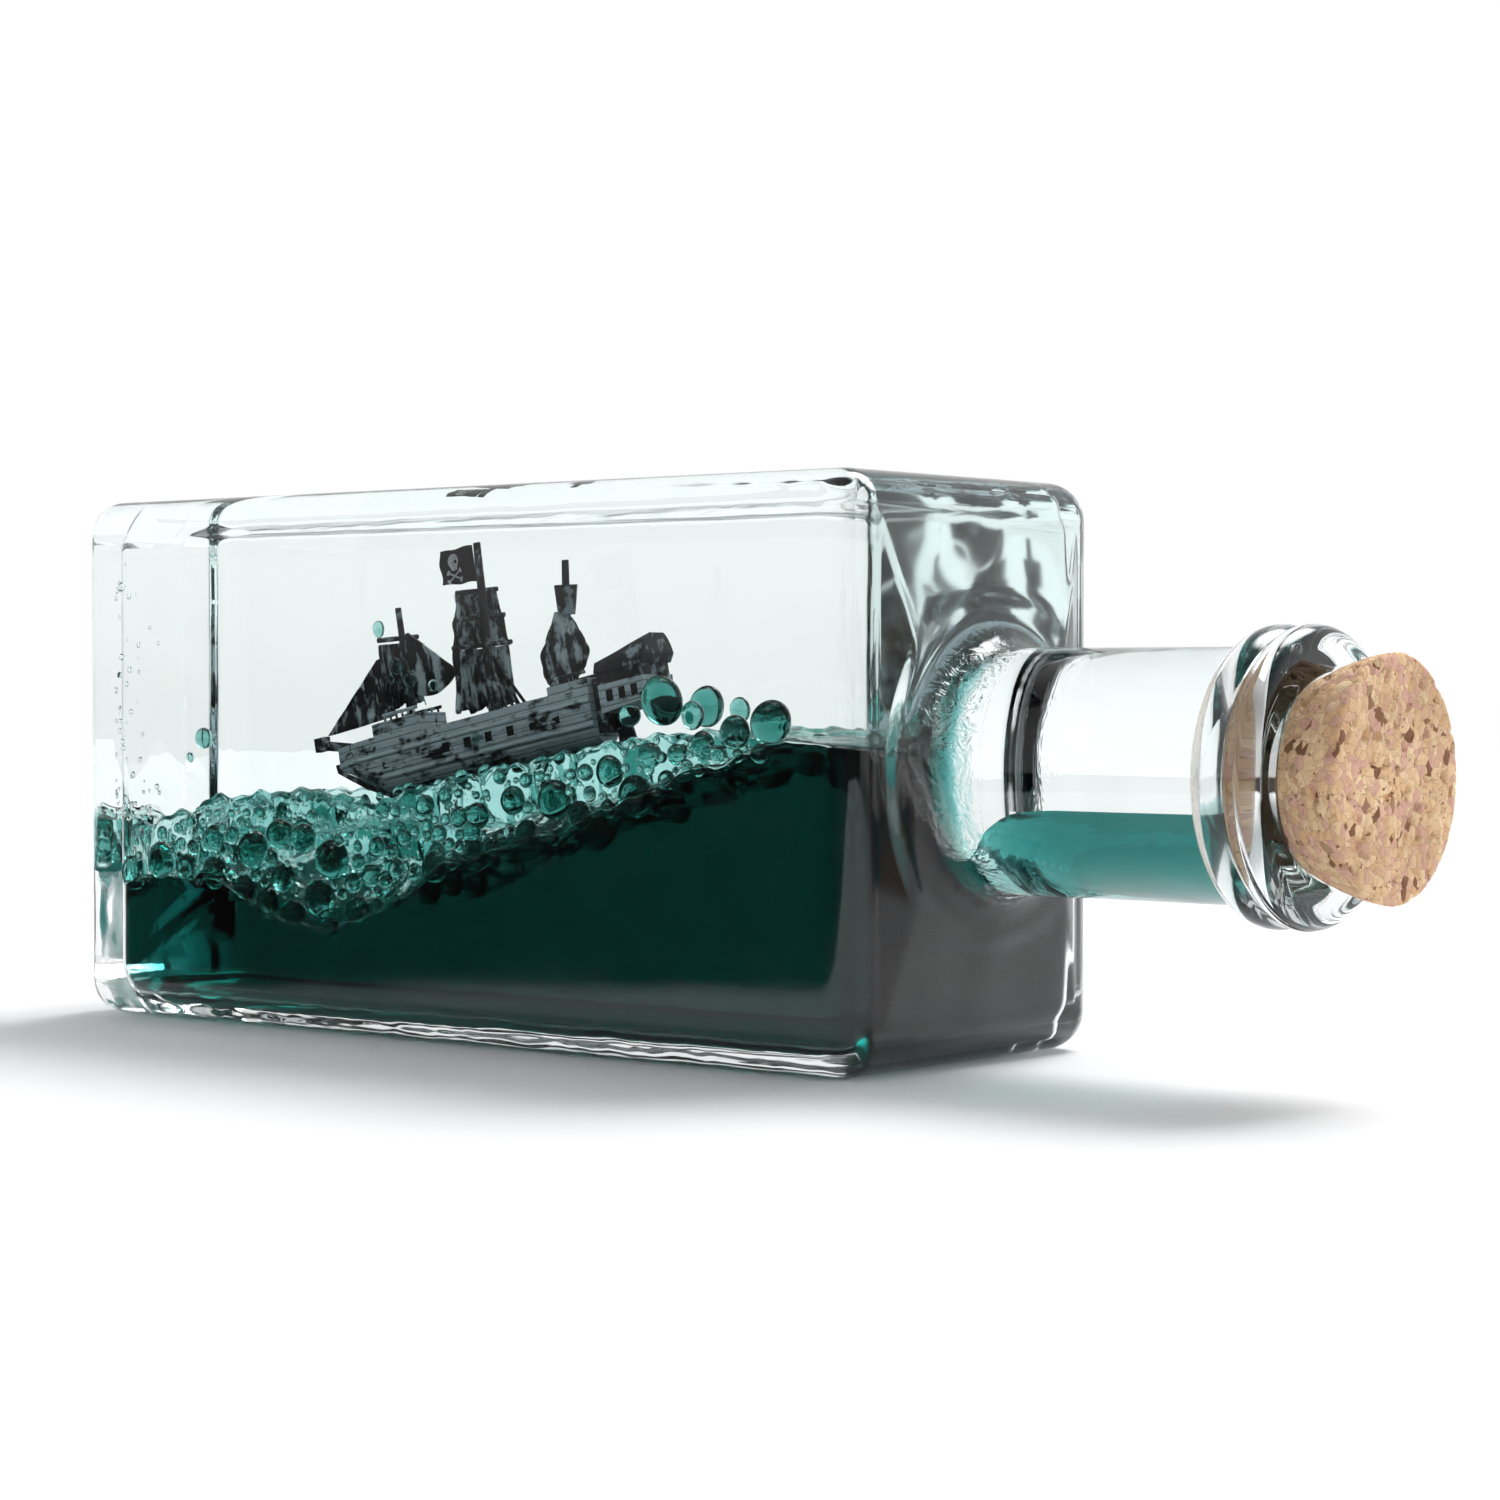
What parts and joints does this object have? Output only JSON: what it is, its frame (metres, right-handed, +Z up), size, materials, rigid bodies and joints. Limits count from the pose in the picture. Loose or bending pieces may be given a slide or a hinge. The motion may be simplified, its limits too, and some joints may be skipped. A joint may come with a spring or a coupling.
{
  "type": "ship in a bottle",
  "caption": "Small sailing ship afloat in a corked rectangular glass bottle of dyed water and clear oil; cork pulls out, ship drifts and pitches.",
  "frame": {"origin": "centre of the whole object's footprint on the surface it rests on, at Z = 0, half way between the bottle's base and the cork's outer face", "axes": "+X along the bottle from its base to the cork, +Z up, with the bottle lying on its long narrow side; the ship's bow points to -X"},
  "size_m": [0.1622, 0.043, 0.06],
  "materials": {
    "clear_glass": "gloss",
    "cork": "matte",
    "clear_seal": "satin",
    "dyed_water": "gloss",
    "foam": "gloss",
    "clear_oil": "gloss",
    "ship_sides": "satin",
    "ship_dark": "satin",
    "ship_openings": "matte",
    "sails": "satin",
    "flag": "satin",
    "emblem": "matte"
  },
  "bodies": {
    "bottle": {"bottle": "clear_glass", "inner_seal": "clear_seal", "dyed_water": "dyed_water", "clear_oil": "clear_oil"},
    "stopper": {"cork": "cork"},
    "foam_layer": {"foam": "foam"},
    "wake": {"wake_bubbles": "foam"},
    "ship": {"hull": "ship_sides", "keel": "ship_dark", "rudder": "ship_dark", "deck": "ship_dark", "bulwarks": "ship_sides", "wales": "ship_dark", "gun_ports": "ship_openings", "forecastle": "ship_sides", "forecastle_rail": "ship_sides", "quarterdeck": "ship_sides", "quarterdeck_rail": "ship_sides", "stern_block": "ship_dark", "stern_gallery": "ship_sides", "gallery_windows": "ship_openings", "stern_castle": "ship_dark", "stern_lantern": "ship_dark", "bowsprit": "ship_dark", "foremast": "ship_dark", "mainmast": "ship_dark", "mizzenmast": "ship_dark", "crows_nest": "ship_dark", "main_yards": "ship_dark", "fore_yard": "ship_dark", "jib": "sails", "foresail": "sails", "staysail": "sails", "main_lower_sail": "sails", "main_middle_sail": "sails", "main_upper_sail": "sails", "mizzen_sail": "sails", "shrouds": "ship_dark", "flag": "flag", "flag_emblem": "emblem", "water_beads": "dyed_water"}
  },
  "joints": [
    {"name": "cork_pull", "type": "slide", "parent": "bottle", "child": "stopper", "axis": [1, 0, 0], "range_m": [0, 0.025]},
    {"name": "swell", "type": "slide", "parent": "bottle", "child": "foam_layer", "axis": [0, 0, 1], "range_m": [-0.0025, 0.0005], "stiffness_N_per_m": 900, "springref_m": 0.0004, "deforming": ["foam", "dyed_water", "clear_oil"]},
    {"name": "ship_drift", "type": "slide", "parent": "foam_layer", "child": "wake", "axis": [0.9945, 0, 0.1044], "range_m": [-0.01, 0.01]},
    {"name": "ship_pitch", "type": "hinge", "parent": "wake", "child": "ship", "pos_m": [-0.024, 0, 0.031], "axis": [0, 1, 0], "range_deg": [-8, 20], "stiffness_Nm_per_rad": 0.002}
  ]
}
